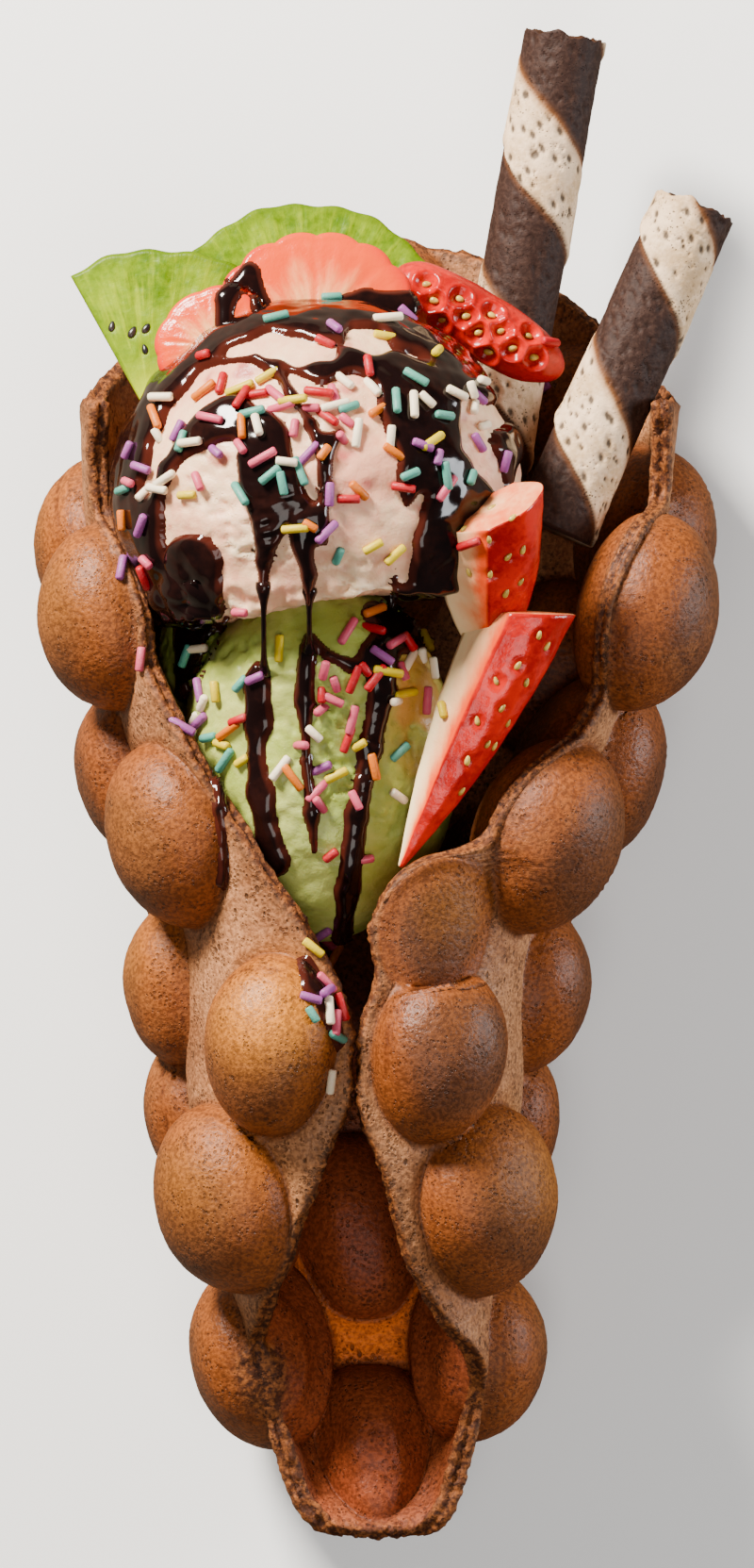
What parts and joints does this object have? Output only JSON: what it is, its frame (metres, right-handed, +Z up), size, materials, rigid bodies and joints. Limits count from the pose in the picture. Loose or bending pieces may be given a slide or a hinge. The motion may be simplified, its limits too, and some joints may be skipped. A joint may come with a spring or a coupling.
{
  "type": "filled bubble waffle cone",
  "caption": "Rolled bubble waffle cone lying on its back, filled with two scoops of ice cream, sauce, sprinkles, cut fruit and rolled wafers, for handing over and eating.",
  "frame": {"origin": "middle of the bounding box in X and Y, at the floor it lies on", "axes": "+X is the viewer's right, +Y runs from the cone's tip to its mouth, +Z is up and is the side that shows"},
  "size_m": [0.115, 0.2498, 0.0867],
  "materials": {
    "waffle": "baked golden brown crust with a faint sheen",
    "ice_cream_pink": "creamy and lightly frosted, with glossy dark sauce and coloured sugar sprinkles",
    "ice_cream_green": "creamy and lightly frosted, with glossy dark sauce and coloured sugar sprinkles",
    "kiwi": "wet cut flesh with black seeds",
    "strawberry": "wet cut flesh and glossy seeded skin",
    "wafer": "dry porous wafer in two colours"
  },
  "bodies": {
    "root": {"waffle": "waffle", "scoop_strawberry": "ice_cream_pink", "scoop_pistachio": "ice_cream_green", "kiwi_left": "kiwi", "kiwi_back": "kiwi", "strawberry_left": "strawberry", "strawberry_slice": "strawberry", "strawberry_right": "strawberry", "strawberry_wedge_upper": "strawberry", "strawberry_wedge_lower": "strawberry", "wafer_roll_back": "wafer", "wafer_roll_front": "wafer"}
  },
  "joints": []
}
